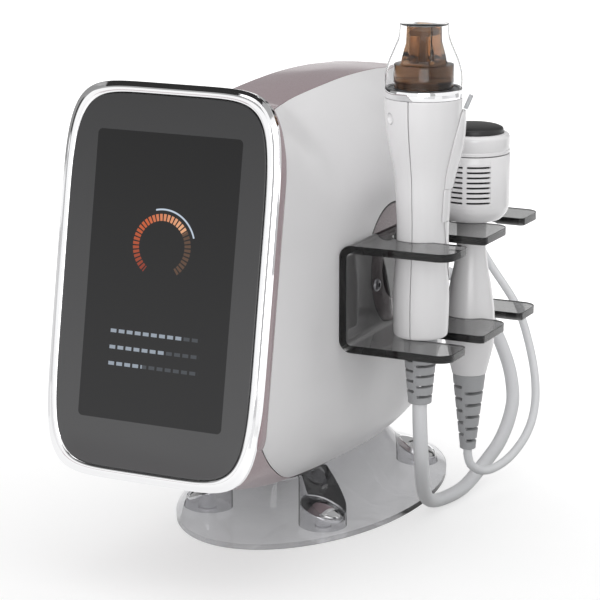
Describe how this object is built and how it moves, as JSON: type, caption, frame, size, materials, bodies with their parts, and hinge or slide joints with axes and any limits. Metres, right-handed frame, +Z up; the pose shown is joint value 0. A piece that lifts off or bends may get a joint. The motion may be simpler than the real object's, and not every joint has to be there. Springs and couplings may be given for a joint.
{
  "type": "radiofrequency microneedling machine",
  "caption": "Desktop skin treatment console with a tilted touch screen, a clear flared base, and a smoky side holder with a needle handpiece and a cooling handpiece on cords.",
  "frame": {"origin": "centre of the base's elliptical underside, on the surface that the machine stands on", "axes": "+Z up, the touch screen faces -Y, the handpiece holder is on the +X side"},
  "size_m": [0.2313, 0.4117, 0.3424],
  "materials": {
    "white": "satin moulded",
    "rose": "fine metallic paint",
    "mauve": "fine metallic paint",
    "chrome": "bright plated",
    "steel": "machined",
    "black": "fine texture",
    "dark": "satin",
    "screen_glass": "back printed",
    "board": "satin",
    "grey": "matt",
    "cord": "smooth",
    "clear": "polished",
    "smoke": "polished",
    "amber": "moulded"
  },
  "bodies": {
    "console": {"clear_base": "clear", "foot_plug_front_left": "chrome", "foot_plug_front_right": "chrome", "foot_plug_rear_left": "chrome", "foot_plug_rear_right": "chrome", "seat_pad": "black", "rose_centre_frame": "rose", "left_side_shell": "white", "right_side_shell": "white", "left_side_disc": "mauve", "right_side_disc": "mauve", "left_disc_seal": "black", "right_disc_seal": "black", "chrome_bezel": "chrome", "touch_glass": "screen_glass", "display_bracket": "black", "display_panel": "dark", "display_board": "board", "handpiece_holder": "smoke", "holder_screw_front": "steel", "holder_screw_rear": "steel", "rear_panel": "white", "fan_frame": "black", "power_inlet": "black", "needle_socket": "steel", "cooling_socket": "steel", "needle_cord_plug": "steel", "cooling_cord_plug": "steel", "needle_cord": "cord", "cooling_cord": "cord", "chassis_tray": "steel", "power_supply": "steel", "radiofrequency_board": "board"},
    "fan": {"fan_rotor": "dark"},
    "switch_rocker": {"rocker_switch": "black"},
    "needle_handpiece": {"needle_grip_left": "white", "needle_grip_right": "white", "needle_chrome_ring": "chrome", "needle_top_deck": "dark", "tube_fairing": "white", "fairing_hatch": "white", "fairing_tail": "white", "suction_tube_stub": "clear", "needle_strain_relief": "grey", "needle_drive_motor": "steel"},
    "trigger_button": {"push_button": "white"},
    "cartridge": {"needle_cartridge": "amber"},
    "needle_plunger": {"needle_plate": "steel"},
    "tip_cap": {"clear_cap": "clear"},
    "cooling_handpiece": {"cooling_head_shell": "white", "cooling_rim_ring": "white", "cold_dome": "black", "cooling_handle": "white", "cooling_strain_relief": "grey", "cooling_heat_sink": "steel", "thermoelectric_cooler": "white"}
  },
  "joints": [
    {"name": "fan_spin", "type": "hinge", "parent": "console", "child": "fan", "pos_m": [-0.004, 0.118, 0.222], "axis": [0, 1, 0], "continuous": true},
    {"name": "rocker_tilt", "type": "hinge", "parent": "console", "child": "switch_rocker", "pos_m": [-0.017, 0.1253, 0.147], "axis": [1, 0, 0], "range_deg": [0, 18]},
    {"name": "needle_handpiece_lift", "type": "slide", "parent": "console", "child": "needle_handpiece", "axis": [0, 0, 1], "range_m": [0, 0.08]},
    {"name": "button_press", "type": "slide", "parent": "needle_handpiece", "child": "trigger_button", "axis": [0.5878, 0.809, 0], "range_m": [0, 0.001], "stiffness_N_per_m": 300},
    {"name": "cartridge_release", "type": "slide", "parent": "needle_handpiece", "child": "cartridge", "axis": [0, 0, 1], "range_m": [0, 0.05]},
    {"name": "needle_stroke", "type": "slide", "parent": "cartridge", "child": "needle_plunger", "axis": [0, 0, 1], "range_m": [0, 0.003]},
    {"name": "cap_pull", "type": "slide", "parent": "cartridge", "child": "tip_cap", "axis": [0, 0, 1], "range_m": [0, 0.05]},
    {"name": "cooling_handpiece_lift", "type": "slide", "parent": "console", "child": "cooling_handpiece", "axis": [0, 0, 1], "range_m": [0, 0.12]}
  ]
}
